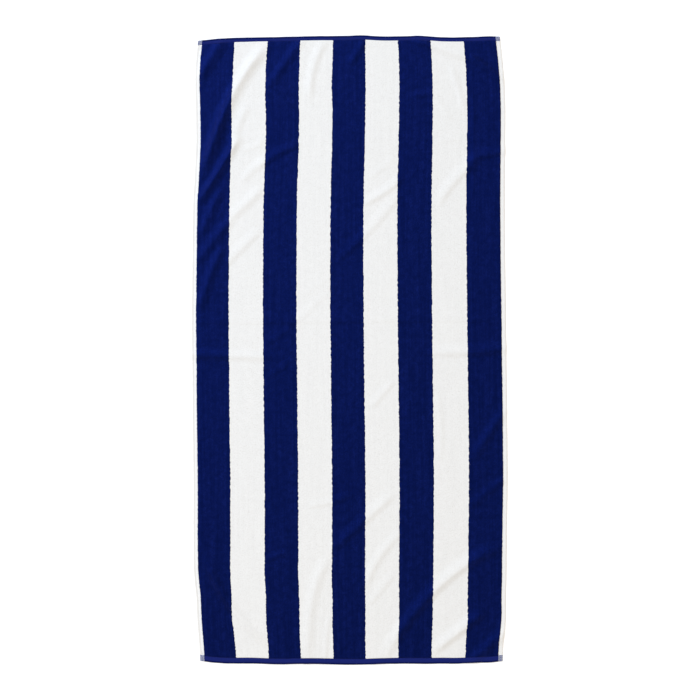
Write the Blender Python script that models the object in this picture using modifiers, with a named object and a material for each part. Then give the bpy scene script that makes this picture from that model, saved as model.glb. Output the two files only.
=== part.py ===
"""Beach towel lying flat on a surface, with the soft ridges of cloth that was folded and shaken out.

Metres, +Z up. X runs across the towel and Y along it, with its top end at +Y. The origin is on the
surface it lies on, under the middle of its bounding box. The towel is woven in one piece: terry
pile in the middle, a flat-woven selvedge down each side and a turned hem across each end.
"""

from collections import namedtuple

import bmesh
import bpy
import numpy as np

MM = 0.001

# Driving dimensions of the cloth
LENGTH = 1.524
STRIPE_WIDTH = 0.0823
STRIPE_COUNT = 9
SELVEDGE_WIDTH = 0.011
TOP_HEM_DEPTH = 0.008
BOTTOM_HEM_DEPTH = 0.0125
PILE_THICKNESS = 0.0032
HEM_THICKNESS = 0.0024
SELVEDGE_THICKNESS = 0.0014
PILE_EDGE = 0.0015

# Driving dimensions of the mesh
CELLS_IN_STRIPE = 2
CELLS_ALONG = 36
FINER_WITHIN = (0.060, 0.018)
SHORTEST_CUT = 0.012
SQUARE_WITHIN = 0.0001

# Driving dimensions of a ridge
CREST_STEPS = 12
DIES_OUT_OVER = 0.3
LIES_FLAT_UNDER = 0.00025
SLACK_REACH = 0.07
SLACK_SHARE = 0.22

# How the long sides run, from the top end down, in millimetres: the outer edges of the pile, and
# how far its middle has moved to the right between them
Section = namedtuple("Section", "along left right middle_shift")
SECTIONS = (
    Section(762, -357, 354, 1),
    Section(702, -362, 361, 0),
    Section(650, -363, 365, -2),
    Section(600, -363, 367, -3),
    Section(510, -362, 366, -4),
    Section(360, -368, 366, -4),
    Section(215, -370, 367, -4),
    Section(70, -373, 370, -4),
    Section(-25, -372, 370, -4),
    Section(-170, -370, 372, -4),
    Section(-315, -368, 373, -4),
    Section(-460, -368, 371, -3),
    Section(-560, -365, 370, -4),
    Section(-610, -361, 369, -5),
    Section(-655, -359, 368, -5),
    Section(-705, -354, 363, -5),
    Section(-762, -350, 360, -4),
)

# How far each end edge has drawn in from the full length, from left to right, in millimetres
EndDraw = namedtuple("EndDraw", "across top bottom")
END_DRAWS = (
    EndDraw(-372, 14, 11),
    EndDraw(-350, 11, 8),
    EndDraw(-327, 8, 5),
    EndDraw(-298, 7, 4),
    EndDraw(-240, 5, 3),
    EndDraw(-180, 4, 1),
    EndDraw(-95, 2, 2),
    EndDraw(-5, 1, 0),
    EndDraw(22, 0, 0),
    EndDraw(80, 3, 2),
    EndDraw(138, 1, 3),
    EndDraw(168, 1, 2),
    EndDraw(226, 4, 3),
    EndDraw(255, 5, 3),
    EndDraw(313, 3, 5),
    EndDraw(342, 2, 6),
    EndDraw(370, 3, 9),
)

# The main soft ridges, in millimetres. Each crest is a bow through three places, and its side on
# the right of the way from start to end falls over the right width.
Ridge = namedtuple("Ridge", "start middle end height right_width left_width")
RIDGES = (
    Ridge((-186, 751), (-288, 625), (-375, 402), 6.0, 13, 8),
    Ridge((-274, 729), (-329, 702), (-366, 639), 4.0, 9, 7),
    Ridge((-274, 479), (-327, 428), (-375, 353), 4.5, 10, 7),
    Ridge((-201, 406), (-249, 363), (-303, 314), 3.0, 10, 8),
    Ridge((-201, 305), (-249, 261), (-308, 203), 3.0, 10, 8),
    Ridge((-274, 309), (-320, 259), (-380, 193), 3.5, 9, 7),
    Ridge((-298, 232), (-337, 164), (-375, 91), 3.0, 9, 7),
    Ridge((-56, 755), (-92, 688), (-99, 591), 3.0, 8, 7),
    Ridge((138, 455), (78, 387), (22, 358), 3.0, 9, 7),
    Ridge((138, 416), (51, 300), (-46, 203), 4.0, 12, 8),
    Ridge((391, 673), (289, 736), (182, 755), 3.0, 7, 11),
    Ridge((395, 486), (289, 455), (206, 329), 4.0, 10, 7),
    Ridge((124, -321), (37, -413), (-65, -510), 4.0, 12, 8),
    Ridge((138, -418), (71, -495), (32, -583), 3.5, 10, 8),
    Ridge((376, -127), (335, -200), (294, -287), 3.0, 10, 8),
    Ridge((400, -461), (235, -554), (75, -772), 6.0, 14, 8),
    Ridge((366, -602), (279, -677), (192, -762), 4.5, 10, 7),
    Ridge((400, -660), (337, -706), (279, -762), 3.5, 8, 7),
    Ridge((-41, -490), (-92, -602), (-102, -777), 4.0, 9, 7),
    Ridge((-186, -752), (-308, -636), (-385, -515), 4.0, 8, 7),
)

NAVY = (0.0040, 0.0085, 0.0800, 1.0)

PILE_WIDTH = STRIPE_WIDTH * STRIPE_COUNT
CLOTH_WIDTH = PILE_WIDTH + 2 * SELVEDGE_WIDTH


def clear_scene():
    for obj in list(bpy.data.objects):
        bpy.data.objects.remove(obj, do_unlink=True)


def cloth_lines():
    """The lines of the base mesh across and along the cloth, with a pair at each pile edge."""
    side = CLOTH_WIDTH / 2
    pile = PILE_WIDTH / 2
    columns = np.linspace(-pile, pile, STRIPE_COUNT * CELLS_IN_STRIPE + 1)
    columns[0] += PILE_EDGE
    columns[-1] -= PILE_EDGE
    across = np.concatenate(([-side, -pile], columns, [pile, side]))
    top = LENGTH / 2 - TOP_HEM_DEPTH
    bottom = BOTTOM_HEM_DEPTH - LENGTH / 2
    rows = np.linspace(bottom + PILE_EDGE, top - PILE_EDGE, CELLS_ALONG + 1)
    along = np.concatenate(([-LENGTH / 2, bottom], rows, [top, LENGTH / 2]))
    return across, along


def thickness_at(x, y):
    """How thick the cloth is at a place in it: pile, hem, or the selvedge between the hems."""
    in_hem = y > LENGTH / 2 - TOP_HEM_DEPTH - PILE_EDGE / 2
    in_hem = in_hem or y < BOTTOM_HEM_DEPTH + PILE_EDGE / 2 - LENGTH / 2
    if in_hem:
        return HEM_THICKNESS
    if abs(x) > (PILE_WIDTH - PILE_EDGE) / 2:
        return SELVEDGE_THICKNESS
    return PILE_THICKNESS


def crest_line(ridge):
    """Points along a ridge's crest, on a bow that passes through its middle place."""
    start, middle, end = (np.array(place) * MM for place in (ridge.start, ridge.middle, ridge.end))
    pull = 2 * middle - (start + end) / 2
    t = np.linspace(0, 1, CREST_STEPS + 1)[:, None]
    return (1 - t) ** 2 * start + 2 * t * (1 - t) * pull + t**2 * end


def beside_crest(ridge, x, y):
    """Distance to the right of a crest, the share of its run passed, and the way to its right."""
    line = crest_line(ridge)
    nearest = np.full(x.shape, np.inf)
    offset, run = np.zeros(x.shape), np.zeros(x.shape)
    right_x, right_y = np.zeros(x.shape), np.zeros(x.shape)
    for step in range(CREST_STEPS):
        begin = line[step]
        along = line[step + 1] - begin
        length = np.hypot(*along)
        share = ((x - begin[0]) * along[0] + (y - begin[1]) * along[1]) / length**2
        share = np.clip(share, 0, 1)
        gap_x = x - begin[0] - share * along[0]
        gap_y = y - begin[1] - share * along[1]
        distance = np.hypot(gap_x, gap_y)
        side = np.sign(gap_x * along[1] - gap_y * along[0])
        closer = distance < nearest
        nearest = np.where(closer, distance, nearest)
        offset = np.where(closer, side * distance, offset)
        run = np.where(closer, (step + share) / CREST_STEPS, run)
        right_x = np.where(closer, along[1] / length, right_x)
        right_y = np.where(closer, -along[0] / length, right_y)
    return offset, run, right_x, right_y


def soft_step(t):
    t = np.clip(t, 0, 1)
    return t * t * (3 - 2 * t)


def ridges_lift(x, y):
    """How far the ridges raise the cloth, and how far they draw it sideways towards them."""
    height = np.zeros(x.shape)
    move_x, move_y = np.zeros(x.shape), np.zeros(x.shape)
    for ridge in RIDGES:
        offset, run, right_x, right_y = beside_crest(ridge, x, y)
        width = np.where(offset > 0, ridge.right_width, ridge.left_width) * MM
        ends = soft_step(run / DIES_OUT_OVER) * soft_step((1 - run) / DIES_OUT_OVER)
        crest = ridge.height * MM * ends
        height += crest * np.exp(-0.5 * (offset / width) ** 2)
        slack = SLACK_SHARE * crest**2 / width * np.tanh(np.abs(offset) / width)
        slack *= np.sign(offset) * np.exp(-((offset / SLACK_REACH) ** 2))
        move_x -= slack * right_x
        move_y -= slack * right_y
    return np.maximum(height - LIES_FLAT_UNDER, 0), move_x, move_y


def lay_out(x, y):
    """Where a place in the cloth lies: its sides and ends drawn in, and its ridges raised."""
    sections = SECTIONS[::-1]
    stations = [section.along * MM for section in sections]
    left = np.interp(y, stations, [section.left * MM for section in sections])
    right = np.interp(y, stations, [section.right * MM for section in sections])
    shift = np.interp(y, stations, [section.middle_shift * MM for section in sections])
    share = np.clip(x / (PILE_WIDTH / 2), -1, 1)
    beyond = x - share * PILE_WIDTH / 2
    lie_x = (left + right) / 2 + share * (right - left) / 2 + shift * (1 - share**2) + beyond
    places = [draw.across * MM for draw in END_DRAWS]
    top = LENGTH / 2 - np.interp(lie_x, places, [draw.top * MM for draw in END_DRAWS])
    bottom = np.interp(lie_x, places, [draw.bottom * MM for draw in END_DRAWS]) - LENGTH / 2
    lie_y = bottom + (y / LENGTH + 0.5) * (top - bottom)
    height, move_x, move_y = ridges_lift(lie_x, lie_y)
    return lie_x + move_x, lie_y + move_y, height


def is_rectangle(face):
    if len(face.verts) != 4:
        return False
    first, second, third, fourth = (vert.co for vert in face.verts)
    return (first - second + third - fourth).length < SQUARE_WITHIN


def touching_faces(face):
    return {touching for vert in face.verts for touching in vert.link_faces}


def refine_near_ridges(mesh, reach):
    """Cut in half the long edges of each cell whose middle lies within reach of a crest."""
    cells = [face for face in mesh.faces if all(map(is_rectangle, touching_faces(face)))]
    middles = np.array([face.calc_center_median() for face in cells])
    lie_x, lie_y, _ = lay_out(middles[:, 0], middles[:, 1])
    nearest = np.full(len(cells), np.inf)
    for ridge in RIDGES:
        offset = beside_crest(ridge, lie_x, lie_y)[0]
        nearest = np.minimum(nearest, np.abs(offset))
    near = [cell for cell, distance in zip(cells, nearest) if distance < reach]
    cut = {edge for cell in near for edge in cell.edges if edge.calc_length() > SHORTEST_CUT}
    ordered = [edge for edge in mesh.edges if edge in cut]
    bmesh.ops.subdivide_edges(mesh, edges=ordered, cuts=1, use_grid_fill=True)


def split_raised_quads(mesh, flat, lie):
    """Cut each raised rectangle along the diagonal that lies nearer to the true surface."""
    quads = [face for face in mesh.faces if is_rectangle(face)]
    corners = np.array([[vert.index for vert in quad.verts] for quad in quads])
    middles = flat[corners].mean(axis=1)
    true_height = lay_out(middles[:, 0], middles[:, 1])[2]
    height = lie[corners, 2]
    first_error = np.abs((height[:, 0] + height[:, 2]) / 2 - true_height)
    other_error = np.abs((height[:, 1] + height[:, 3]) / 2 - true_height)
    for quad, first, other in zip(quads, first_error, other_error):
        if first == other:
            continue
        start = 0 if first < other else 1
        bmesh.utils.face_split(quad, quad.verts[start], quad.verts[start + 2])


def towel_mesh():
    """The towel's underside as one sheet, and each point's share of the full thickness."""
    across, along = cloth_lines()
    mesh = bmesh.new()
    columns, rows = len(across) - 1, len(along) - 1
    bmesh.ops.create_grid(mesh, x_segments=columns, y_segments=rows, size=1)
    for vert in mesh.verts:
        column = round((vert.co.x + 1) / 2 * columns)
        row = round((vert.co.y + 1) / 2 * rows)
        vert.co = (across[column], along[row], 0)
    for reach in FINER_WITHIN:
        refine_near_ridges(mesh, reach)
    uneven = [face for face in mesh.faces if len(face.verts) > 3 and not is_rectangle(face)]
    bmesh.ops.poke(mesh, faces=uneven)
    mesh.verts.index_update()
    flat = np.array([vert.co for vert in mesh.verts])
    shares = [thickness_at(x, y) / PILE_THICKNESS for x, y, _ in flat]
    lie = np.stack(lay_out(flat[:, 0], flat[:, 1]), axis=1)
    split_raised_quads(mesh, flat, lie)
    for vert, place in zip(mesh.verts, lie):
        vert.co = place
    data = bpy.data.meshes.new("towel")
    mesh.to_mesh(data)
    mesh.free()
    return data, shares


def make_towel(collection):
    """One closed solid: the sheet thickened upwards, so that its underside lies on the surface."""
    data, shares = towel_mesh()
    towel = bpy.data.objects.new("towel", data)
    collection.objects.link(towel)
    pile = towel.vertex_groups.new(name="thickness")
    for index, share in enumerate(shares):
        pile.add([index], share, "REPLACE")
    solid = towel.modifiers.new("thickness", "SOLIDIFY")
    solid.thickness = PILE_THICKNESS
    solid.offset = 1
    solid.vertex_group = pile.name
    return towel


def centre_over_origin(towel):
    """Move the mesh so that the origin lies under the middle of the finished solid."""
    depsgraph = bpy.context.evaluated_depsgraph_get()
    corners = np.array([corner[:] for corner in towel.evaluated_get(depsgraph).bound_box])
    middle = (corners.min(axis=0) + corners.max(axis=0)) / 2
    for vert in towel.data.vertices:
        vert.co.x -= middle[0]
        vert.co.y -= middle[1]


def terry_material():
    """Dyed cotton terry."""
    material = bpy.data.materials.new("terry")
    material.use_nodes = True
    shader = material.node_tree.nodes["Principled BSDF"]
    shader.inputs["Base Color"].default_value = NAVY
    shader.inputs["Roughness"].default_value = 0.95
    shader.inputs["Metallic"].default_value = 0.0
    material.diffuse_color = NAVY
    return material


clear_scene()
beach_towel = bpy.data.collections.new("beach towel")
bpy.context.scene.collection.children.link(beach_towel)
towel_solid = make_towel(beach_towel)
towel_solid.data.materials.append(terry_material())
centre_over_origin(towel_solid)
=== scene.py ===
import math
from collections import namedtuple

import bpy
import numpy as np
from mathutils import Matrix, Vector


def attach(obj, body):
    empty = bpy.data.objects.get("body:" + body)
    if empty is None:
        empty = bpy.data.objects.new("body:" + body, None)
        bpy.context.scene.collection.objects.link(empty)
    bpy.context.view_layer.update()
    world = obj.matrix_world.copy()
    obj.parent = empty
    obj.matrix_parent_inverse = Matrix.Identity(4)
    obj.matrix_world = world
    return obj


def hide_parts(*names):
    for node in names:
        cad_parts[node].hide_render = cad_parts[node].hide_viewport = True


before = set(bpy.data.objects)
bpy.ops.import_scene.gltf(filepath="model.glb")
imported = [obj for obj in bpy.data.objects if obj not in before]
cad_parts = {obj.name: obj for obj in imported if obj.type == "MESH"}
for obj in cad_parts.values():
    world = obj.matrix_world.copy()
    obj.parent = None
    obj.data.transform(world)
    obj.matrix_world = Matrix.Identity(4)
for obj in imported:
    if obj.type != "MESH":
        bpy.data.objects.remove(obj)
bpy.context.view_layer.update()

# The ground cloth: one plain-woven white cotton sheet, which holds the loops of both faces. It runs
# out past the pile as a flat selvedge down each side, whose outer half is doubled and a little
# thicker, and its ends run into the turned hems. It lies on the surface in soft diagonal ridges.
MM = 0.001
CLOTH_LENGTH = 1.524
SELVEDGE_WIDTH = 0.011
TOP_HEM_DEPTH = 0.0110
BOTTOM_HEM_DEPTH = 0.0150
STRIPE_WIDTHS = (79.5, 82.8, 81.6, 81.9, 80.9, 82.4, 83.5, 84.9, 83.2)
PILE_WIDTH = sum(STRIPE_WIDTHS) * MM
CLOTH_WIDTH = PILE_WIDTH + 2 * SELVEDGE_WIDTH

# Outer edges of the pile from the top end down, and how far its middle lies to the right between
# them, in millimetres
Section = namedtuple("Section", "along left right middle_shift")
SECTIONS = (
    Section(762, -357, 354, 5),
    Section(702, -363, 361, 4),
    Section(650, -364, 365, 2),
    Section(600, -363, 367, 1),
    Section(510, -363, 367, 0),
    Section(360, -369, 366, 0),
    Section(215, -371, 367, 0),
    Section(70, -372, 369, 0),
    Section(-25, -371, 370, 0),
    Section(-170, -370, 372, 0),
    Section(-315, -368, 373, 0),
    Section(-460, -368, 371, 1),
    Section(-560, -366, 370, 0),
    Section(-610, -361, 369, -1),
    Section(-655, -359, 369, -2),
    Section(-705, -355, 364, -1),
    Section(-762, -351, 361, 0),
)

# How far each end has drawn in from the full length, from left to right, in millimetres
EndDraw = namedtuple("EndDraw", "across top bottom")
END_DRAWS = (
    EndDraw(-372, 12.6, 9.5),
    EndDraw(-350, 9.6, 6.8),
    EndDraw(-327, 7.4, 4.0),
    EndDraw(-298, 5.3, 2.2),
    EndDraw(-240, 3.5, 2.1),
    EndDraw(-180, 2.6, 0.1),
    EndDraw(-95, 0.6, 0.9),
    EndDraw(-5, -0.3, -0.7),
    EndDraw(22, -1.4, -1.0),
    EndDraw(80, 1.1, 0.9),
    EndDraw(138, 0.5, 1.7),
    EndDraw(168, -0.7, 1.4),
    EndDraw(226, 2.6, 1.7),
    EndDraw(255, 3.1, 1.2),
    EndDraw(313, 1.8, 3.8),
    EndDraw(342, 0.7, 4.3),
    EndDraw(370, 1.7, 7.5),
)

# Soft ridges, in millimetres. Each crest is a bow through three places, and its two sides fall
# over the right and the left width, seen on the way from start to end.
Ridge = namedtuple("Ridge", "start middle end height right_width left_width")
RIDGES = (
    Ridge((-185, 752), (-287, 612), (-370, 375), 7.8, 10, 11),
    Ridge((-300, 758), (-336, 708), (-368, 645), 3.7, 9, 10),
    Ridge((-258, 528), (-312, 441), (-374, 342), 6.2, 8, 8),
    Ridge((-238, 602), (-268, 545), (-288, 468), 2.0, 8, 7),
    Ridge((-196, 464), (-230, 440), (-268, 398), 1.7, 8, 7),
    Ridge((-200, 503), (-235, 492), (-268, 478), 1.0, 7, 6),
    Ridge((-105, 502), (-172, 477), (-235, 428), 1.8, 9, 6),
    Ridge((-203, 402), (-252, 353), (-300, 310), 2.9, 10, 8),
    Ridge((-303, 396), (-336, 337), (-364, 262), 2.8, 8, 8),
    Ridge((-208, 300), (-262, 247), (-312, 195), 2.1, 10, 7),
    Ridge((-274, 326), (-328, 267), (-378, 196), 2.7, 10, 8),
    Ridge((-300, 264), (-338, 178), (-364, 85), 3.4, 9, 8),
    Ridge((-50, 757), (-86, 690), (-97, 585), 2.9, 9, 7),
    Ridge((-100, 765), (-152, 703), (-198, 626), 2.3, 8, 8),
    Ridge((41, 755), (20, 722), (-2, 683), 1.8, 8, 6),
    Ridge((140, 427), (85, 383), (25, 350), 2.6, 9, 6),
    Ridge((122, 474), (80, 442), (38, 407), 0.9, 8, 6),
    Ridge((135, 397), (60, 303), (-46, 203), 1.8, 11, 7),
    Ridge((140, 757), (222, 730), (308, 700), 3.4, 7, 8),
    Ridge((284, 717), (331, 684), (388, 640), 3.0, 7, 7),
    Ridge((283, 570), (262, 639), (242, 700), 1.6, 7, 6),
    Ridge((250, 551), (222, 594), (195, 636), 1.0, 7, 6),
    Ridge((208, 626), (182, 621), (150, 618), 1.6, 8, 6),
    Ridge((330, 470), (262, 418), (205, 335), 2.6, 11, 7),
    Ridge((440, 482), (345, 477), (270, 448), 2.2, 9, 6),
    Ridge((290, 514), (245, 511), (200, 505), 0.7, 9, 5),
    Ridge((299, 640), (301, 500), (299, 330), 0.9, 4, 5),
    Ridge((-175, -18), (-300, -14), (-480, -10), 2.6, 9, 7),
    Ridge((480, 18), (315, -3), (165, -4), 2.7, 11, 7),
    Ridge((480, 74), (0, 71), (-480, 65), 0.9, 16, 5),
    Ridge((-128, 70), (-165, 40), (-206, 8), 0.9, 9, 6),
    Ridge((-114, -6), (-160, -40), (-206, -74), 0.7, 9, 6),
    Ridge((112, -72), (80, -106), (48, -148), 1.5, 9, 6),
    Ridge((-30, 182), (-75, 158), (-118, 125), 0.5, 8, 6),
    Ridge((-38, 148), (-90, 106), (-132, 60), 0.8, 9, 6),
    Ridge((118, -338), (40, -411), (-62, -505), 2.6, 11, 7),
    Ridge((140, -430), (72, -503), (33, -592), 2.2, 9, 7),
    Ridge((114, -533), (80, -577), (42, -622), 1.4, 9, 6),
    Ridge((212, -90), (221, -175), (220, -290), 1.2, 7, 6),
    Ridge((385, -132), (343, -198), (293, -278), 2.8, 10, 7),
    Ridge((392, -302), (335, -345), (283, -390), 1.8, 9, 7),
    Ridge((15, -345), (-50, -370), (-110, -376), 1.5, 9, 5),
    Ridge((-138, -488), (-178, -500), (-216, -522), 1.1, 8, 6),
    Ridge((400, -470), (218, -572), (60, -790), 4.3, 12, 8),
    Ridge((335, -628), (275, -676), (183, -747), 4.0, 11, 7),
    Ridge((400, -668), (337, -719), (280, -776), 3.6, 10, 8),
    Ridge((-38, -490), (-90, -604), (-100, -800), 2.9, 10, 9),
    Ridge((-46, -632), (-56, -700), (-58, -775), 1.2, 6, 5),
    Ridge((-188, -725), (-292, -613), (-355, -487), 4.5, 8, 8),
)

# Places where the stripes lie a little aside, with how far that reaches, in millimetres
Sway = namedtuple("Sway", "across along reach_across reach_along shift")
SWAYS = (
    Sway(-285, 705, 45, 42, 4.5),
    Sway(-200, 612, 140, 25, -1.6),
    Sway(-285, -640, 60, 40, -8.5),
    Sway(-285, -735, 60, 26, 2.8),
    Sway(-45, 640, 50, 45, -1.3),
    Sway(30, 655, 50, 50, 1.0),
    Sway(130, 665, 60, 50, 2.0),
)

CREST_STEPS = 12
RIDGE_REACH = 0.14
# The share of a ridge's run over which it rises at its start and dies out at its end
DIES_OUT_OVER = 0.25
# A ridge takes up some of the cloth beside it, which shrinks off with the distance from its crest
SLACK_SHARE = 0.34
SLACK_REACH = 0.07
# The foot of a ridge that is lower than this lies flat
LIES_FLAT_UNDER = 0.00025


def between(at, stations, values):
    """A smooth curve through the values that a table gives at its stations."""
    stations = np.array(stations) * MM
    values = np.array(values) * MM
    slopes = np.gradient(values, stations)
    index = np.clip(np.searchsorted(stations, at) - 1, 0, len(stations) - 2)
    span = stations[index + 1] - stations[index]
    t = np.clip((at - stations[index]) / span, 0, 1)
    start = (2 * t**3 - 3 * t**2 + 1) * values[index] + (t**3 - 2 * t**2 + t) * span * slopes[index]
    end = (3 * t**2 - 2 * t**3) * values[index + 1] + (t**3 - t**2) * span * slopes[index + 1]
    return start + end


def soft_step(t):
    t = np.clip(t, 0, 1)
    return t * t * (3 - 2 * t)


def crest_line(ridge):
    """Points along a ridge's crest, on a bow that passes through its middle place."""
    start, middle, end = (np.array(place) * MM for place in (ridge.start, ridge.middle, ridge.end))
    pull = 2 * middle - (start + end) / 2
    t = np.linspace(0, 1, CREST_STEPS + 1)[:, None]
    return (1 - t) ** 2 * start + 2 * t * (1 - t) * pull + t**2 * end


def beside_crest(line, x, y):
    """Distance to the right of a crest, the share of its run passed, and the way to its right."""
    nearest = np.full(x.shape, np.inf)
    offset, run = np.zeros(x.shape), np.zeros(x.shape)
    right_x, right_y = np.zeros(x.shape), np.zeros(x.shape)
    for step in range(CREST_STEPS):
        begin = line[step]
        along = line[step + 1] - begin
        length = np.hypot(*along)
        share = ((x - begin[0]) * along[0] + (y - begin[1]) * along[1]) / length**2
        share = np.clip(share, 0, 1)
        gap_x = x - begin[0] - share * along[0]
        gap_y = y - begin[1] - share * along[1]
        distance = np.hypot(gap_x, gap_y)
        side = np.sign(gap_x * along[1] - gap_y * along[0])
        closer = distance < nearest
        nearest = np.where(closer, distance, nearest)
        offset = np.where(closer, side * distance, offset)
        run = np.where(closer, (step + share) / CREST_STEPS, run)
        right_x = np.where(closer, along[1] / length, right_x)
        right_y = np.where(closer, -along[0] / length, right_y)
    return offset, run, right_x, right_y


def ridges_lift(x, y):
    """How far the ridges raise the cloth, and how far they draw it sideways towards them."""
    height = np.zeros(x.shape)
    move_x, move_y = np.zeros(x.shape), np.zeros(x.shape)
    for ridge in RIDGES:
        line = crest_line(ridge)
        low, high = line.min(axis=0) - RIDGE_REACH, line.max(axis=0) + RIDGE_REACH
        near = (x > low[0]) & (x < high[0]) & (y > low[1]) & (y < high[1])
        offset, run, right_x, right_y = beside_crest(line, x[near], y[near])
        width = np.where(offset > 0, ridge.right_width, ridge.left_width) * MM
        ends = soft_step(run / DIES_OUT_OVER) * soft_step((1 - run) / DIES_OUT_OVER)
        crest = ridge.height * MM * ends
        height[near] += crest * np.exp(-0.5 * (offset / width) ** 2)
        slack = SLACK_SHARE * crest**2 / width * np.tanh(np.abs(offset) / width)
        slack *= np.sign(offset) * np.exp(-((offset / SLACK_REACH) ** 2))
        move_x[near] -= slack * right_x
        move_y[near] -= slack * right_y
    return np.maximum(height - LIES_FLAT_UNDER, 0), move_x, move_y


def lay_out(x, y, z):
    """Where a point of the flat cloth lies, with its sides and ends drawn in and ridges raised."""
    sections = SECTIONS[::-1]
    stations = [section.along for section in sections]
    left = between(y, stations, [section.left for section in sections])
    right = between(y, stations, [section.right for section in sections])
    shift = between(y, stations, [section.middle_shift for section in sections])
    share = np.clip(x / (PILE_WIDTH / 2), -1, 1)
    outside = x - share * PILE_WIDTH / 2
    lie_x = (left + right) / 2 + share * (right - left) / 2 + shift * (1 - share**2) + outside
    places = [draw.across for draw in END_DRAWS]
    top = CLOTH_LENGTH / 2 - between(lie_x, places, [draw.top for draw in END_DRAWS])
    bottom = between(lie_x, places, [draw.bottom for draw in END_DRAWS]) - CLOTH_LENGTH / 2
    lie_y = bottom + (y / CLOTH_LENGTH + 0.5) * (top - bottom)
    for sway in SWAYS:
        beside = (lie_x - sway.across * MM) / (sway.reach_across * MM)
        beyond = (lie_y - sway.along * MM) / (sway.reach_along * MM)
        lie_x = lie_x + sway.shift * MM * np.exp(-(beside**2) - beyond**2) * (1 - share**2)
    height, move_x, move_y = ridges_lift(lie_x, lie_y)
    return np.stack([lie_x + move_x, lie_y + move_y, height + z], axis=-1)


def uneven(x, y, size, seed):
    """Smooth unevenness from -1 to 1, with humps about one size apart."""
    count = 61
    heights = np.random.default_rng(seed).uniform(-1, 1, (count, count))
    column, across = np.divmod(x / size, 1)
    row, along = np.divmod(y / size, 1)
    column, row = column.astype(int), row.astype(int)
    across, along = soft_step(across), soft_step(along)
    near = heights[row % count, column % count] * (1 - across)
    near += heights[row % count, (column + 1) % count] * across
    far = heights[(row + 1) % count, column % count] * (1 - across)
    far += heights[(row + 1) % count, (column + 1) % count] * across
    return near * (1 - along) + far * along


def bake_map(rows, girth, segments, margin=0.012):
    """Each face corner's place in a square: the tube cut open and laid in strips side by side."""
    quads = rows - 1
    length = math.ceil(quads / segments)
    strip, start = np.divmod(np.arange(quads)[:, None], length)
    around = girth / girth[-1]
    left = (strip + margin + (1 - 2 * margin) * around[None, :-1]) / segments
    right = (strip + margin + (1 - 2 * margin) * around[None, 1:]) / segments
    low = margin + (1 - 2 * margin) * start / length + 0 * left
    high = margin + (1 - 2 * margin) * (start + 1) / length + 0 * left
    corners = [(left, low), (right, low), (right, high), (left, high)]
    return np.stack([np.stack(corner, axis=-1) for corner in corners], axis=2).reshape(-1, 2)


def end_map(quads, low, high):
    """The same for the faces that close an end, in a narrow strip of the square's margin."""
    left, right = np.arange(quads) / quads, (np.arange(quads) + 1) / quads
    low, high = low + 0 * left, high + 0 * left
    corners = [(left, high), (left, low), (right, low), (right, high)]
    return np.stack([np.stack(corner, axis=-1) for corner in corners], axis=1).reshape(-1, 2)


def cloth_tube(name, x, y, z, segments, closed=True):
    """A tube of cloth: one ring of points for each row of x, y and z, which are places in the flat
    cloth and heights above its underside. Each ring goes over the top and comes back under, and a
    closed tube, whose ends are filled in, has as many points under as over."""
    rows, around = x.shape
    places = lay_out(x, y, z).reshape(-1, 3)
    index = np.arange(rows * around).reshape(rows, around)
    beside = np.roll(index, -1, axis=1)
    faces = np.stack([index[:-1], beside[:-1], beside[1:], index[1:]], axis=-1).reshape(-1, 4)
    ring = np.stack([x[rows // 2], z[rows // 2]], axis=-1)
    steps = np.linalg.norm(np.roll(ring, -1, axis=0) - ring, axis=1)
    bake = [bake_map(rows, np.concatenate(([0], np.cumsum(steps))), segments)]
    if closed:
        half = around // 2
        for row, low, high in ((index[0], 0.002, 0.009), (index[-1][::-1], 0.991, 0.998)):
            over, under = row[:half], row[::-1][:half]
            ends = np.stack([over[:-1], under[:-1], under[1:], over[1:]], axis=-1)
            faces = np.concatenate((faces, ends))
            bake.append(end_map(half - 1, low, high))
    mesh = bpy.data.meshes.new(name)
    mesh.from_pydata(places.tolist(), [], faces.tolist())
    flat = np.stack([x, y], axis=-1).reshape(-1, 2)[faces.reshape(-1)]
    mesh.uv_layers.new(name="cloth").uv.foreach_set("vector", flat.astype(np.float32).ravel())
    bake = np.concatenate(bake).astype(np.float32).ravel()
    mesh.uv_layers.new(name="OFBake").uv.foreach_set("vector", bake)
    mesh.shade_smooth()
    mesh.set_sharp_from_angle(angle=math.radians(55))
    return place_piece(name, mesh)


def place_piece(name, mesh):
    """A scene object for a finished mesh."""
    piece = bpy.data.objects.new(name, mesh)
    bpy.context.scene.collection.objects.link(piece)
    return piece


def node(tree, kind, inputs=None, **settings):
    """Add a shader node, with its settings, and the values or links of its sockets."""
    made = tree.nodes.new(kind)
    for name, value in settings.items():
        setattr(made, name, value)
    for socket, value in (inputs or {}).items():
        if isinstance(value, bpy.types.NodeSocket):
            tree.links.new(value, made.inputs[socket])
        else:
            made.inputs[socket].default_value = value
    return made


def maths(tree, operation, *values):
    return node(tree, "ShaderNodeMath", dict(enumerate(values)), operation=operation).outputs[0]


def ramp(tree, value, low, high, start=0.0, end=1.0):
    """Map a value from low..high to start..end, softly and clamped."""
    inputs = {"Value": value, "From Min": low, "From Max": high, "To Min": start, "To Max": end}
    made = node(tree, "ShaderNodeMapRange", inputs, interpolation_type="SMOOTHSTEP")
    return made.outputs["Result"]


def blend_colours(tree, share, first, second):
    made = node(tree, "ShaderNodeMix", data_type="RGBA")
    for socket, value in (("Factor", share), ("A", first), ("B", second)):
        target = next(s for s in made.inputs if s.name == socket and s.enabled)
        if isinstance(value, bpy.types.NodeSocket):
            tree.links.new(value, target)
        else:
            target.default_value = value
    return next(s for s in made.outputs if s.enabled)


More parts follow.
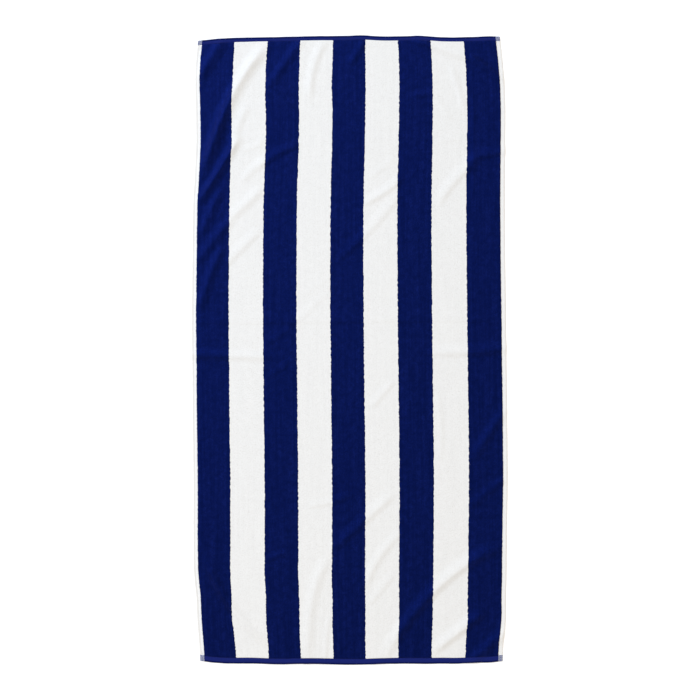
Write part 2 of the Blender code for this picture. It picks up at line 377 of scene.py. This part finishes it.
def new_group(name, sockets):
    """An empty node group with the named sockets, and its input and output nodes."""
    group = bpy.data.node_groups.new(name, "ShaderNodeTree")
    for socket, direction, kind in sockets:
        group.interface.new_socket(socket, in_out=direction, socket_type=kind)
    return group, group.nodes.new("NodeGroupInput"), group.nodes.new("NodeGroupOutput")


def plain_weave_group():
    """Warp over weft and weft over warp by turns, from the place in the cloth in metres."""
    group, given, out = new_group("plain weave", (
        ("Cloth", "INPUT", "NodeSocketVector"),
        ("Warp Pitch", "INPUT", "NodeSocketFloat"),
        ("Weft Pitch", "INPUT", "NodeSocketFloat"),
        ("Height", "OUTPUT", "NodeSocketFloat"),
        ("Warp On Top", "OUTPUT", "NodeSocketFloat"),
        ("Gap", "OUTPUT", "NodeSocketFloat"),
    ))
    place = node(group, "ShaderNodeSeparateXYZ", {0: given.outputs["Cloth"]})
    column = maths(group, "DIVIDE", place.outputs["X"], given.outputs["Warp Pitch"])
    row = maths(group, "DIVIDE", place.outputs["Y"], given.outputs["Weft Pitch"])
    warp_round = maths(group, "SINE", maths(group, "MULTIPLY", column, math.pi))
    weft_round = maths(group, "SINE", maths(group, "MULTIPLY", row, math.pi))
    crossing = maths(group, "MULTIPLY", warp_round, weft_round)
    height = maths(group, "POWER", maths(group, "ABSOLUTE", crossing), 0.5)
    group.links.new(height, out.inputs["Height"])
    group.links.new(ramp(group, crossing, -0.15, 0.15), out.inputs["Warp On Top"])
    group.links.new(ramp(group, height, 0.6, 0.1), out.inputs["Gap"])
    return group


def cotton_material(name, roughness, gloss, sheen, tint=(1.0, 1.0, 1.0, 1.0)):
    """A soft cotton shader, its tree, and the place in the cloth in metres."""
    material = bpy.data.materials.new(name)
    material.use_nodes = True
    tree = material.node_tree
    shader = tree.nodes["Principled BSDF"]
    shader.inputs["Roughness"].default_value = roughness
    shader.inputs["Specular IOR Level"].default_value = gloss
    shader.inputs["Specular Tint"].default_value = tint
    shader.inputs["Sheen Weight"].default_value = sheen
    shader.inputs["Sheen Tint"].default_value = tint
    shader.inputs["Sheen Roughness"].default_value = 0.6
    cloth = node(tree, "ShaderNodeUVMap", uv_map="cloth").outputs["UV"]
    return material, tree, shader, cloth


def raise_surface(tree, shader, height, distance, strength=1.0):
    bump = node(tree, "ShaderNodeBump", {
        "Height": height, "Distance": distance, "Strength": strength,
    })
    tree.links.new(bump.outputs["Normal"], shader.inputs["Normal"])


GROUND_UNDER_PILE = 0.0016
GROUND_THICKNESS = 0.0006
GROUND_AT_EDGE = 0.0007
GROUND_INSET = 0.0004
GROUND_COLUMN_STEP = 0.008
GROUND_ROW_STEP = 0.006
HEM_SHARE_REACHED = 0.6
# Towards the hems the ground sinks to this share of its height, over these ways in from the end
GROUND_SINKS_TO = 0.4
GROUND_SINKS_FROM = 0.030
GROUND_SUNK_AT = 0.010
WOVEN_WHITE = (0.93, 0.93, 0.93, 1.0)
WARP_PITCH = 0.0007
GROUND_WEFT_PITCH = 0.0009
GROUND_RELIEF = 0.0002

plain_weave = plain_weave_group()

ground_columns = round(CLOTH_WIDTH / GROUND_COLUMN_STEP)
ground_side = CLOTH_WIDTH / 2 - GROUND_INSET
over_x = np.linspace(-ground_side, ground_side, ground_columns + 1)
under_pile = soft_step((CLOTH_WIDTH / 2 - np.abs(over_x)) / (2 * SELVEDGE_WIDTH))
over_z = GROUND_AT_EDGE + (GROUND_UNDER_PILE - GROUND_AT_EDGE) * under_pile
over_z = over_z + GROUND_THICKNESS / 2
ring_x = np.concatenate((over_x, over_x[::-1]))
ring_z = np.concatenate((over_z, over_z[::-1] - GROUND_THICKNESS))
ground_rows = np.linspace(HEM_SHARE_REACHED * BOTTOM_HEM_DEPTH - CLOTH_LENGTH / 2,
                          CLOTH_LENGTH / 2 - HEM_SHARE_REACHED * TOP_HEM_DEPTH,
                          round(CLOTH_LENGTH / GROUND_ROW_STEP))
ground_x = np.repeat(ring_x[None, :], len(ground_rows), axis=0)
ground_y = np.repeat(ground_rows[:, None], len(ring_x), axis=1)
from_end = CLOTH_LENGTH / 2 - np.abs(ground_rows)[:, None]
away_from_hem = soft_step((from_end - GROUND_SUNK_AT) / (GROUND_SINKS_FROM - GROUND_SUNK_AT))
ground_z = ring_z[None, :] * (GROUND_SINKS_TO + (1 - GROUND_SINKS_TO) * away_from_hem)
ground_cloth = cloth_tube("ground_cloth", ground_x, ground_y, ground_z, 1)
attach(ground_cloth, "root")
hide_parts("towel")

ground_cotton, tree, shader, cloth = cotton_material(
    "white ground cotton", roughness=0.9, gloss=0.2, sheen=0.1)
weave = node(tree, "ShaderNodeGroup",
             {"Cloth": cloth, "Warp Pitch": WARP_PITCH, "Weft Pitch": GROUND_WEFT_PITCH},
             node_tree=plain_weave)
shader.inputs["Base Color"].default_value = WOVEN_WHITE
raise_surface(tree, shader, weave.outputs["Height"], GROUND_RELIEF)
ground_cloth.data.materials.append(ground_cotton)

# The selvedges: down each side the white warp is packed close and the weft turns back on itself,
# so the edge is firm, with a fine row of turns. The outer half is doubled and a little creamy.

# Their section, over the top and underneath: the way in from the edge and the height, in millimetres
SELVEDGE_TOP = ((0.05, 0.62), (0.5, 1.16), (1.5, 1.42), (3.4, 1.45), (4.8, 1.30), (5.5, 1.02),
                (7.5, 1.06), (9.6, 1.10), (11.0, 1.30), (12.5, 1.65))
SELVEDGE_UNDERSIDE = ((0.05, 0.42), (0.5, 0.12), (1.5, 0.0), (3.4, 0.0), (4.8, 0.0), (5.5, 0.12),
                      (7.5, 0.12), (9.6, 0.12), (11.0, 0.2), (12.5, 1.5))
WEFT_TURN = 0.0022
TURN_SWING = 0.00022
DOUBLED_WIDTH = 0.0052
TURNS_REACH_IN = 0.0012
INTO_BOTTOM_HEM = 0.004
INTO_TOP_HEM = 0.003
SELVEDGE_CREAM = (0.90, 0.885, 0.86, 1.0)
# A painted shade for the gaps between the threads
SELVEDGE_GAP_SHADE = (0.76, 0.75, 0.73, 1.0)
SELVEDGE_WEFT_PITCH = 0.0011
SELVEDGE_RELIEF = 0.00025


def selvedge(name, side):
    """A woven edge on the left, where side is -1, or on the right, where it is 1."""
    over = np.array(SELVEDGE_TOP) * MM
    under = np.array(SELVEDGE_UNDERSIDE)[::-1] * MM
    ring = np.concatenate((over, under))
    rows = np.arange(INTO_BOTTOM_HEM - CLOTH_LENGTH / 2, CLOTH_LENGTH / 2 - INTO_TOP_HEM, WEFT_TURN)
    swing = np.where(np.arange(len(rows)) % 2, TURN_SWING, -TURN_SWING)[:, None]
    from_edge = np.repeat(ring[None, :, 0], len(rows), axis=0)
    near_edge = np.clip(1 - from_edge / TURNS_REACH_IN, 0, 1)
    x = side * (CLOTH_WIDTH / 2 - from_edge + near_edge * swing)
    y = np.repeat(rows[:, None], len(ring), axis=1)
    z = np.repeat(ring[None, :, 1], len(rows), axis=0)
    if side > 0:
        x, y, z = x[:, ::-1], y[:, ::-1], z[:, ::-1]
    return cloth_tube(name, x, y, z, 6)


selvedges = [selvedge("selvedge_left", -1), selvedge("selvedge_right", 1)]

selvedge_cotton, tree, shader, cloth = cotton_material(
    "white selvedge cotton", roughness=0.9, gloss=0.2, sheen=0.1)
weave = node(tree, "ShaderNodeGroup",
             {"Cloth": cloth, "Warp Pitch": WARP_PITCH, "Weft Pitch": SELVEDGE_WEFT_PITCH},
             node_tree=plain_weave)
across = node(tree, "ShaderNodeSeparateXYZ", {0: cloth}).outputs["X"]
doubled = ramp(tree, maths(tree, "ABSOLUTE", across), CLOTH_WIDTH / 2 - DOUBLED_WIDTH - 0.0006,
               CLOTH_WIDTH / 2 - DOUBLED_WIDTH + 0.0006)
colour = blend_colours(tree, doubled, WOVEN_WHITE, SELVEDGE_CREAM)
# Painted shade in the gaps between the woven threads
colour = blend_colours(tree, maths(tree, "MULTIPLY", weave.outputs["Gap"], 0.5), colour, SELVEDGE_GAP_SHADE)
tree.links.new(colour, shader.inputs["Base Color"])
raise_surface(tree, shader, weave.outputs["Height"], SELVEDGE_RELIEF)
for edge in selvedges:
    edge.data.materials.append(selvedge_cotton)
    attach(edge, "root")

# The pile: cotton loops on both faces of the ground cloth, in nine lengthwise stripes of dyed and
# bleached warp. Each stripe is one piece with uneven loop tops, and its edges step from loop to
# loop. The outermost stripes round over towards the selvedges.
PILE_THICKNESS = 0.0032
PILE_EDGE = 0.0015
OVER_HEM = 0.0008
LOOP_STEP = 0.0021
LOOP_WIDTH = 0.0016
LOOP_RELIEF = 0.0006
UNDER_COLUMNS = 6
LOOP_TOP_SPREAD = 0.035 * MM
LOOP_PLACE_SPREAD = 0.25 * MM
CRUSHED_BY = 0.07 * MM
WIDE_CRUSH = 0.021
NARROW_CRUSH = 0.008
FIRM_END_ROWS = 4
EDGE_STEP = 0.55 * MM
EDGE_WANDER = 0.45 * MM
WANDER_LENGTH = 0.006
UNDERSIDE_SPREAD = 0.25 * MM
WALL_ANGLES = np.radians((55, 20, -20, -55))
# Each pile colour: its loop tops, then the painted shade down between the loops
WHITE_PILE = ((0.850, 0.850, 0.848, 1.0), (0.62, 0.60, 0.56, 1.0))
NAVY_PILE = ((0.0016, 0.0034, 0.0290, 1.0), (0.0005, 0.0012, 0.0100, 1.0))
NAVY_SHEEN = (0.02, 0.09, 1.0, 1.0)


def terry_group():
    """Loops of pile that stand close together, from the place in the cloth in metres."""
    group, given, out = new_group("terry loops", (
        ("Cloth", "INPUT", "NodeSocketVector"),
        ("Loop Width", "INPUT", "NodeSocketFloat"),
        ("Loop Length", "INPUT", "NodeSocketFloat"),
        ("Height", "OUTPUT", "NodeSocketFloat"),
        ("Gap", "OUTPUT", "NodeSocketFloat"),
        ("Loop Tone", "OUTPUT", "NodeSocketFloat"),
        ("Streak", "OUTPUT", "NodeSocketFloat"),
        ("Nap", "OUTPUT", "NodeSocketFloat"),
    ))
    place = node(group, "ShaderNodeSeparateXYZ", {0: given.outputs["Cloth"]})
    loops = node(group, "ShaderNodeCombineXYZ", {
        "X": maths(group, "DIVIDE", place.outputs["X"], given.outputs["Loop Width"]),
        "Y": maths(group, "DIVIDE", place.outputs["Y"], given.outputs["Loop Length"]),
    }).outputs[0]
    lean = node(group, "ShaderNodeTexNoise", {"Vector": loops, "Scale": 0.45, "Detail": 1.0})
    lean = node(group, "ShaderNodeVectorMath", {0: lean.outputs["Color"], 1: (0.5, 0.5, 0.5)},
                operation="SUBTRACT").outputs[0]
    lean = node(group, "ShaderNodeVectorMath", {0: lean, "Scale": 1.6}, operation="SCALE").outputs[0]
    leaning = node(group, "ShaderNodeVectorMath", {0: loops, 1: lean}, operation="ADD").outputs[0]
    cells = node(group, "ShaderNodeTexVoronoi", {"Vector": leaning, "Scale": 1.0, "Randomness": 0.75},
                 voronoi_dimensions="2D")
    fibres = node(group, "ShaderNodeTexNoise", {"Vector": leaning, "Scale": 5.0, "Detail": 2.0})
    tops = ramp(group, cells.outputs["Distance"], 0.75, 0.05)
    height = maths(group, "MULTIPLY_ADD", fibres.outputs[0], 0.3, tops)
    number = node(group, "ShaderNodeSeparateColor", {0: cells.outputs["Color"]}).outputs[0]
    lengthwise = node(group, "ShaderNodeVectorMath",
                      {0: given.outputs["Cloth"], 1: (160.0, 5.0, 0.0)}, operation="MULTIPLY")
    streak = node(group, "ShaderNodeTexNoise", {"Vector": lengthwise.outputs[0], "Scale": 1.0})
    nap = node(group, "ShaderNodeTexNoise", {"Vector": given.outputs["Cloth"], "Scale": 70.0})
    group.links.new(height, out.inputs["Height"])
    group.links.new(ramp(group, cells.outputs["Distance"], 0.35, 0.85), out.inputs["Gap"])
    group.links.new(number, out.inputs["Loop Tone"])
    group.links.new(streak.outputs[0], out.inputs["Streak"])
    group.links.new(nap.outputs[0], out.inputs["Nap"])
    return group


terry_loops = terry_group()


def pile_material(name, colours, unevenness, **finish):
    """Loops in one yarn colour, with painted shade down between them, no two quite the same."""
    material, tree, shader, cloth = cotton_material(name, **finish)
    loops = node(tree, "ShaderNodeGroup",
                 {"Cloth": cloth, "Loop Width": LOOP_WIDTH, "Loop Length": LOOP_STEP},
                 node_tree=terry_loops)
    top, painted_shade = colours
    # Painted shade: the gaps between loops take the darker colour
    colour = blend_colours(tree, maths(tree, "MULTIPLY", loops.outputs["Gap"], 0.6), top, painted_shade)
    tone = maths(tree, "MULTIPLY_ADD", loops.outputs["Loop Tone"], unevenness, 1 - unevenness / 2)
    for soft_tone in ("Streak", "Nap"):
        soft = ramp(tree, loops.outputs[soft_tone], 0.2, 0.8, 1 - unevenness / 2, 1 + unevenness / 2)
        tone = maths(tree, "MULTIPLY", tone, soft)
    toned = node(tree, "ShaderNodeVectorMath", {0: colour, "Scale": tone}, operation="SCALE")
    tree.links.new(toned.outputs[0], shader.inputs["Base Color"])
    raise_surface(tree, shader, loops.outputs["Height"], LOOP_RELIEF, 0.4)
    return material


def stripe_edges():
    """Where each edge of a stripe runs, row by row: it steps from loop to loop and wanders."""
    inner_bottom = BOTTOM_HEM_DEPTH - OVER_HEM - CLOTH_LENGTH / 2
    inner_top = CLOTH_LENGTH / 2 - TOP_HEM_DEPTH + OVER_HEM
    ease = PILE_EDGE * np.array((0, 0.2, 0.5))
    body = np.linspace(inner_bottom + PILE_EDGE, inner_top - PILE_EDGE,
                       round((inner_top - inner_bottom) / LOOP_STEP))
    rows = np.concatenate((inner_bottom + ease, body, (inner_top - ease)[::-1]))
    places = np.concatenate(([0], np.cumsum(STRIPE_WIDTHS))) * MM - PILE_WIDTH / 2
    edges = []
    for number, place in enumerate(places):
        random = np.random.default_rng(100 + number)
        step = EDGE_STEP * np.where(random.random(len(rows)) > 0.5, 1, -1)
        wander = EDGE_WANDER * uneven(rows, rows * 0 + number, WANDER_LENGTH, 200 + number)
        outermost = number in (0, len(places) - 1)
        edges.append(place + (0.5 if outermost else 1) * (step + wander))
    return rows, edges


def pile_stripe(number, rows, left, right):
    """One stripe of pile, as a closed tube round the ground cloth."""
    random = np.random.default_rng(number)
    columns = round(STRIPE_WIDTHS[number] * MM / LOOP_STEP)
    outer_left, outer_right = number == 0, number == len(STRIPE_WIDTHS) - 1
    left_bulge = PILE_EDGE if outer_left else 0.0
    right_bulge = PILE_EDGE if outer_right else 0.0
    start, end = left + left_bulge, right - right_bulge
    share = np.linspace(0, 1, columns + 1)[None, :]
    top_x = start[:, None] * (1 - share) + end[:, None] * share
    top_y = np.repeat(rows[:, None], columns + 1, axis=1)
    inner = np.zeros(top_x.shape)
    inner[FIRM_END_ROWS:-FIRM_END_ROWS, 1:-1] = 1
    top_x = top_x + inner * random.normal(0, LOOP_PLACE_SPREAD, top_x.shape)
    top_y = top_y + inner * random.normal(0, LOOP_PLACE_SPREAD, top_x.shape)
    loops = random.normal(0, LOOP_TOP_SPREAD, top_x.shape)
    crush = uneven(top_x, top_y, WIDE_CRUSH, 11) + 0.6 * uneven(top_x, top_y, NARROW_CRUSH, 12)
    top_z = PILE_THICKNESS + CRUSHED_BY * crush + inner * loops
    wall_out, wall_up = np.cos(WALL_ANGLES), (np.sin(WALL_ANGLES) + 1) / 2
    down = top_z[:, -1:] * wall_up[None, :]
    right_x = end[:, None] + right_bulge * wall_out[None, :]
    up = top_z[:, :1] * wall_up[None, ::-1]
    left_x = start[:, None] - left_bulge * wall_out[None, ::-1]
    under = np.linspace(1, 0, UNDER_COLUMNS + 1)[None, :]
    under_x = start[:, None] * (1 - under) + end[:, None] * under
    under_z = random.uniform(0, UNDERSIDE_SPREAD, under_x.shape)
    x = np.concatenate((top_x, right_x, under_x, left_x), axis=1)
    z = np.concatenate((top_z, down, under_z, up), axis=1)
    y = np.repeat(rows[:, None], x.shape[1], axis=1)
    y[:, :columns + 1] = top_y
    to_end = np.minimum(rows - rows[0], rows[-1] - rows)
    rounding = np.sqrt(1 - (1 - np.clip(to_end / PILE_EDGE, 0, 1)) ** 2)[:, None]
    z = GROUND_UNDER_PILE + (z - GROUND_UNDER_PILE) * rounding
    return cloth_tube(f"pile_stripe_{number + 1}", x, y, z, 3, closed=False)


white_terry = pile_material(
    "white terry", WHITE_PILE, unevenness=0.03, roughness=0.9, gloss=0.2, sheen=0.1)
navy_terry = pile_material(
    "navy terry", NAVY_PILE, unevenness=0.85, roughness=0.5, gloss=0.72, sheen=0.08, tint=NAVY_SHEEN)
stripe_rows, edge_lines = stripe_edges()
for number in range(len(STRIPE_WIDTHS)):
    stripe = pile_stripe(number, stripe_rows, edge_lines[number], edge_lines[number + 1])
    stripe.data.materials.append(white_terry if number % 2 else navy_terry)
    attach(stripe, "root")

# The hems: at each end the flat-woven navy end band of the same cloth, turned twice and sewn down
# through all its layers. Its outer edge is a soft fold, the seam pulls a groove along its inner
# edge with small puckers, and where its navy weft crosses the white selvedge it looks pale blue.
HEM_THICKNESS = 0.0023
HEM_FOLD_RADIUS = 0.00115
HEM_STEP = 0.002
SEAM_INSET = 0.0019
SEAM_GROOVE = 0.00045
PUCKER_PITCH = 0.011
PUCKER_RISE = 0.00016
PUCKER_SWAY = 0.00030
HEM_ENDS = CLOTH_WIDTH / 2 - 0.0006
PRESSED_END = 0.0015
SEAM_PULLS_OVER = 0.0035
HEM_NAVY = (0.0125, 0.0190, 0.1350, 1.0)
# A painted shade for the gaps of the weave and the outer fold
HEM_NAVY_SHADE = (0.0020, 0.0035, 0.0300, 1.0)
HEM_WARP_WHITE = (0.68, 0.72, 0.82, 1.0)
HEM_WEFT_PITCH = 0.0006
HEM_RELIEF = 0.00022
# The outer fold gets painted shade, as far in from the end as this
FOLD_SHADE = 0.0043
FOLD_SOFTNESS = 0.0006


def hem_profile(depth):
    """Ring of points round a hem, as the way in from its fold and the height: over the top from
    the fold to the sewn edge, and back under."""
    fold = np.radians(np.linspace(172, 90, 6))
    seam = depth - SEAM_INSET
    sewn_in = np.array((seam - 0.0016, seam - 0.0007, seam, seam + 0.0007, depth - 0.0006, depth))
    sewn_up = HEM_THICKNESS - np.array((0, 0.6, 1, 0.6, 0.4, 1.6)) * SEAM_GROOVE
    flat_in = np.linspace(HEM_FOLD_RADIUS, sewn_in[0], 4)[1:-1]
    way_in = np.concatenate((HEM_FOLD_RADIUS * (1 + np.cos(fold)), flat_in, sewn_in))
    up = np.concatenate((HEM_THICKNESS / 2 * (1 + np.sin(fold)), np.full(2, HEM_THICKNESS), sewn_up))
    return np.concatenate((way_in, way_in[::-1])), np.concatenate((up, HEM_THICKNESS - up[::-1]))


def hem(name, end, depth, seed):
    """A turned hem across the cloth's end, which is 1 at the top and -1 at the bottom."""
    way_in, height = hem_profile(depth)
    columns = round(2 * HEM_ENDS / HEM_STEP)
    across = np.linspace(-HEM_ENDS, HEM_ENDS, columns + 1)
    x = np.repeat(across[:, None], len(way_in), axis=1)
    inwards = np.repeat(way_in[None, :], len(across), axis=0)
    z = np.repeat(height[None, :], len(across), axis=0)
    near_seam = np.exp(-(((inwards - depth + SEAM_INSET) / SEAM_PULLS_OVER) ** 2))
    pucker = uneven(x, x * 0, PUCKER_PITCH, seed) + 0.6 * uneven(x, x * 0, PUCKER_PITCH / 2.3, seed + 1)
    z = z * (1 + near_seam * pucker * PUCKER_RISE / HEM_THICKNESS)
    sway = PUCKER_SWAY * uneven(x, inwards * 0, PUCKER_PITCH * 1.7, seed + 2)
    squeeze = 1 - 0.35 * np.clip((np.abs(x) - HEM_ENDS + PRESSED_END) / PRESSED_END, 0, 1)
    z = HEM_THICKNESS / 2 + (z - HEM_THICKNESS / 2) * squeeze
    y = end * (CLOTH_LENGTH / 2 - inwards + sway)
    if end < 0:
        x, y, z = x[:, ::-1], y[:, ::-1], z[:, ::-1]
    return cloth_tube(name, x, y, z, 4)


top_hem = hem("hem_top", 1, TOP_HEM_DEPTH, 31)
bottom_hem = hem("hem_bottom", -1, BOTTOM_HEM_DEPTH, 41)

hem_cotton, tree, shader, cloth = cotton_material(
    "navy hem cotton", roughness=0.6, gloss=0.6, sheen=0.1, tint=NAVY_SHEEN)
weave = node(tree, "ShaderNodeGroup",
             {"Cloth": cloth, "Warp Pitch": WARP_PITCH, "Weft Pitch": HEM_WEFT_PITCH},
             node_tree=plain_weave)
place = node(tree, "ShaderNodeSeparateXYZ", {0: cloth})
across = maths(tree, "ABSOLUTE", place.outputs["X"])
over_selvedge = ramp(tree, across, PILE_WIDTH / 2 - 0.0002, PILE_WIDTH / 2 + 0.0008)
white_warp = maths(tree, "MULTIPLY", over_selvedge, weave.outputs["Warp On Top"])
colour = blend_colours(tree, white_warp, HEM_NAVY, HEM_WARP_WHITE)
fold_begins = CLOTH_LENGTH / 2 - FOLD_SHADE
fold = ramp(tree, maths(tree, "ABSOLUTE", place.outputs["Y"]), fold_begins - FOLD_SOFTNESS,
            fold_begins + FOLD_SOFTNESS, 0.0, 0.9)
fold = maths(tree, "MULTIPLY", fold, maths(tree, "SUBTRACT", 1.0, over_selvedge))
# Painted shade: darker in the gaps of the weave, and along the outer fold except over the selvedge
painted_shade = maths(tree, "MAXIMUM", maths(tree, "MULTIPLY", weave.outputs["Gap"], 0.6), fold)
colour = blend_colours(tree, painted_shade, colour, HEM_NAVY_SHADE)
tree.links.new(colour, shader.inputs["Base Color"])
raise_surface(tree, shader, weave.outputs["Height"], HEM_RELIEF)
for band in (top_hem, bottom_hem):
    band.data.materials.append(hem_cotton)
    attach(band, "root")

# The hems' stitches: a row of navy lock stitches on each face, along the seam's groove. Each stitch
# is a short rounded length of twisted cotton thread that dips into the cloth at both its ends.
STITCH_PITCH = 0.0032
STITCH_LENGTH = 0.0027
STITCH_LEAN = 0.00012
CLEAR_OF_SIDES = 0.003
THREAD_RADIUS = 0.00021
THREAD_SIDES = 6
THREAD_NAVY = (0.0060, 0.0095, 0.0720, 1.0)
# A painted shade for the grooves of the twist
THREAD_NAVY_SHADE = (0.0014, 0.0022, 0.0200, 1.0)
THREAD_RELIEF = 0.00005
# How fast the twist turns along and across the thread, in turns of a sine a metre
THREAD_TWIST = (7000.0, 4200.0, 0.0)

# A stitch from start to end: the share of its length passed, and its radius and its middle's height
# over the groove as shares of the thread's radius
Station = namedtuple("Station", "share thickness rise")
STITCH = (
    Station(0.0, 0.35, -1.3),
    Station(0.14, 0.9, -0.1),
    Station(0.5, 1.0, 0.45),
    Station(0.86, 0.9, -0.1),
    Station(1.0, 0.35, -1.3),
)


def stitch_points(start, seam_y, lean, underneath):
    """Rings of points along one stitch, as places in the flat cloth and heights."""
    turn = 2 * np.pi * np.arange(THREAD_SIDES) / THREAD_SIDES
    rings = []
    for station in STITCH:
        radius = THREAD_RADIUS * station.thickness
        x = np.full(THREAD_SIDES, start + station.share * STITCH_LENGTH)
        y = seam_y + lean * (station.share - 0.5) + radius * np.cos(turn)
        z = HEM_THICKNESS - SEAM_GROOVE + station.rise * THREAD_RADIUS + radius * np.sin(turn)
        rings.append(np.stack([x, y, HEM_THICKNESS - z if underneath else z], axis=-1))
    return np.concatenate(rings)


def stitch_faces(base, way):
    """A stitch's faces, sides first and then its two ends. Way is -1 on top and 1 underneath."""
    faces = []
    for low in range(base, base + (len(STITCH) - 1) * THREAD_SIDES, THREAD_SIDES):
        for side in range(THREAD_SIDES):
            near, beside = low + side, low + (side + 1) % THREAD_SIDES
            faces.append((near, beside, beside + THREAD_SIDES, near + THREAD_SIDES)[::way])
    start = tuple(range(base, base + THREAD_SIDES))
    end = tuple(point + (len(STITCH) - 1) * THREAD_SIDES for point in start)
    return faces + [start[::-way], end[::way]]


def stitch_bake(corner_x, corner_y, size, way):
    """Each face corner's place in the stitch's own small square: its sides, then its two ends."""
    columns, rows = THREAD_SIDES + 1, len(STITCH)
    places = []
    for row in range(rows - 1):
        for side in range(THREAD_SIDES):
            left, right, low, high = side / columns, (side + 0.8) / columns, row / rows, (row + 1) / rows
            places += [(left, low), (right, low), (right, high), (left, high)][::way]
    turns = [2 * math.pi * side / THREAD_SIDES for side in range(THREAD_SIDES)]
    for middle in (0.5, 0.6):
        places += [((6.2 + 0.2 * math.cos(t)) / columns, middle + 0.04 * math.sin(t)) for t in turns]
    return [(corner_x + u * size, corner_y + v * size) for u, v in places]


def stitch_row(name, end, depth):
    """The stitches of one hem, on both faces, as one piece."""
    count = round(2 * (HEM_ENDS - CLEAR_OF_SIDES) / STITCH_PITCH)
    seam_y = end * (CLOTH_LENGTH / 2 - depth + SEAM_INSET)
    squares = math.ceil(math.sqrt(2 * count))
    points, faces, bake = [], [], []
    for number in range(2 * count):
        underneath, step = divmod(number, count)
        way = 1 if underneath else -1
        lean = STITCH_LEAN * (1 if step % 2 else -1)
        faces += stitch_faces(number * len(STITCH) * THREAD_SIDES, way)
        points.append(stitch_points((step - count / 2) * STITCH_PITCH, seam_y, lean, underneath))
        row, column = divmod(number, squares)
        bake += stitch_bake(column / squares, row / squares, 1 / squares, way)
    points = np.concatenate(points)
    mesh = bpy.data.meshes.new(name)
    mesh.from_pydata(lay_out(points[:, 0], points[:, 1], points[:, 2]).tolist(), [], faces)
    flat = points[np.concatenate(faces), :2].astype(np.float32).ravel()
    mesh.uv_layers.new(name="cloth").uv.foreach_set("vector", flat)
    bake = np.array(bake, np.float32).ravel()
    mesh.uv_layers.new(name="OFBake").uv.foreach_set("vector", bake)
    mesh.shade_smooth()
    mesh.set_sharp_from_angle(angle=math.radians(70))
    return place_piece(name, mesh)


stitches = [
    stitch_row("stitches_top", 1, TOP_HEM_DEPTH),
    stitch_row("stitches_bottom", -1, BOTTOM_HEM_DEPTH),
]

thread, tree, shader, cloth = cotton_material(
    "navy thread", roughness=0.55, gloss=0.6, sheen=0.1, tint=NAVY_SHEEN)
twist = node(tree, "ShaderNodeVectorMath", {0: cloth, 1: THREAD_TWIST}, operation="MULTIPLY")
twist = node(tree, "ShaderNodeSeparateXYZ", {0: twist.outputs[0]})
twist = maths(tree, "SINE", maths(tree, "ADD", twist.outputs["X"], twist.outputs["Y"]))
# Painted shade in the grooves of the twist, where the thread's relief is low
colour = blend_colours(tree, ramp(tree, twist, -0.2, -1.0), THREAD_NAVY, THREAD_NAVY_SHADE)
tree.links.new(colour, shader.inputs["Base Color"])
raise_surface(tree, shader, twist, THREAD_RELIEF)
for row in stitches:
    row.data.materials.append(thread)
    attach(row, "root")

# The stage: a plain white floor under soft studio light, cool from the upper left and warm from all
# round, and a camera straight above the towel on a long lens.
PHOTO_WIDTH = 700
PHOTO_PIXEL = 0.002424
TOWEL_MIDDLE_PIXEL = (348.9, 349.65)
LENS = 135.0
SENSOR = 36.0
FLOOR_HALF = 4.0
FLOOR_UNDER = 0.0004


def aim(obj, place, target):
    obj.location = place
    obj.rotation_mode = "QUATERNION"
    obj.rotation_quaternion = (Vector(target) - Vector(place)).to_track_quat("-Z", "Y")


def soft_light(name, place, target, size, power, colour, glossy=True):
    """A square studio lamp, which shows in the cloth's gloss or doesn't."""
    lamp = bpy.data.lights.new(name, "AREA")
    lamp.shape = "SQUARE"
    lamp.size = size
    lamp.energy = power
    lamp.color = colour
    obj = bpy.data.objects.new(name, lamp)
    bpy.context.scene.collection.objects.link(obj)
    obj.visible_glossy = glossy
    aim(obj, place, target)


floor_corners = [(x * FLOOR_HALF, y * FLOOR_HALF, -FLOOR_UNDER)
                 for x, y in ((-1, -1), (1, -1), (1, 1), (-1, 1))]
floor_mesh = bpy.data.meshes.new("floor")
floor_mesh.from_pydata(floor_corners, [], [(0, 1, 2, 3)])
floor = place_piece("floor", floor_mesh)
floor_paper = bpy.data.materials.new("white paper")
floor_paper.use_nodes = True
paper = floor_paper.node_tree.nodes["Principled BSDF"]
paper.inputs["Base Color"].default_value = (0.9, 0.9, 0.9, 1.0)
paper.inputs["Roughness"].default_value = 0.9
paper.inputs["Emission Color"].default_value = (1.0, 1.0, 1.0, 1.0)
paper.inputs["Emission Strength"].default_value = 0.3
floor.data.materials.append(floor_paper)

world = bpy.data.worlds.new("studio")
world.use_nodes = True
world.node_tree.nodes["Background"].inputs["Color"].default_value = (1.0, 0.901, 0.768, 1.0)
world.node_tree.nodes["Background"].inputs["Strength"].default_value = 0.647
bpy.context.scene.world = world
soft_light("key light", place=(-4.2, 3.85, 5.65), target=(0, 0, 0), size=2.4, power=460,
           colour=(0.67, 0.812, 1.0))
soft_light("fill light", place=(-0.1, -1.3, 2.8), target=(0, -0.3, 0), size=1.2, power=11,
           colour=(1.0, 1.0, 1.0), glossy=False)
bpy.context.scene.view_settings.view_transform = "Standard"

camera_data = bpy.data.cameras.new("camera")
camera_data.lens = LENS
camera_data.sensor_width = SENSOR
camera_data.clip_end = 50.0
camera = bpy.data.objects.new("camera", camera_data)
bpy.context.scene.collection.objects.link(camera)
bpy.context.scene.camera = camera
view_x = ((PHOTO_WIDTH - 1) / 2 - TOWEL_MIDDLE_PIXEL[0]) * PHOTO_PIXEL
view_y = (TOWEL_MIDDLE_PIXEL[1] - (PHOTO_WIDTH - 1) / 2) * PHOTO_PIXEL
view_height = PHOTO_WIDTH * PHOTO_PIXEL * LENS / SENSOR + PILE_THICKNESS
camera.location = (view_x, view_y, view_height)
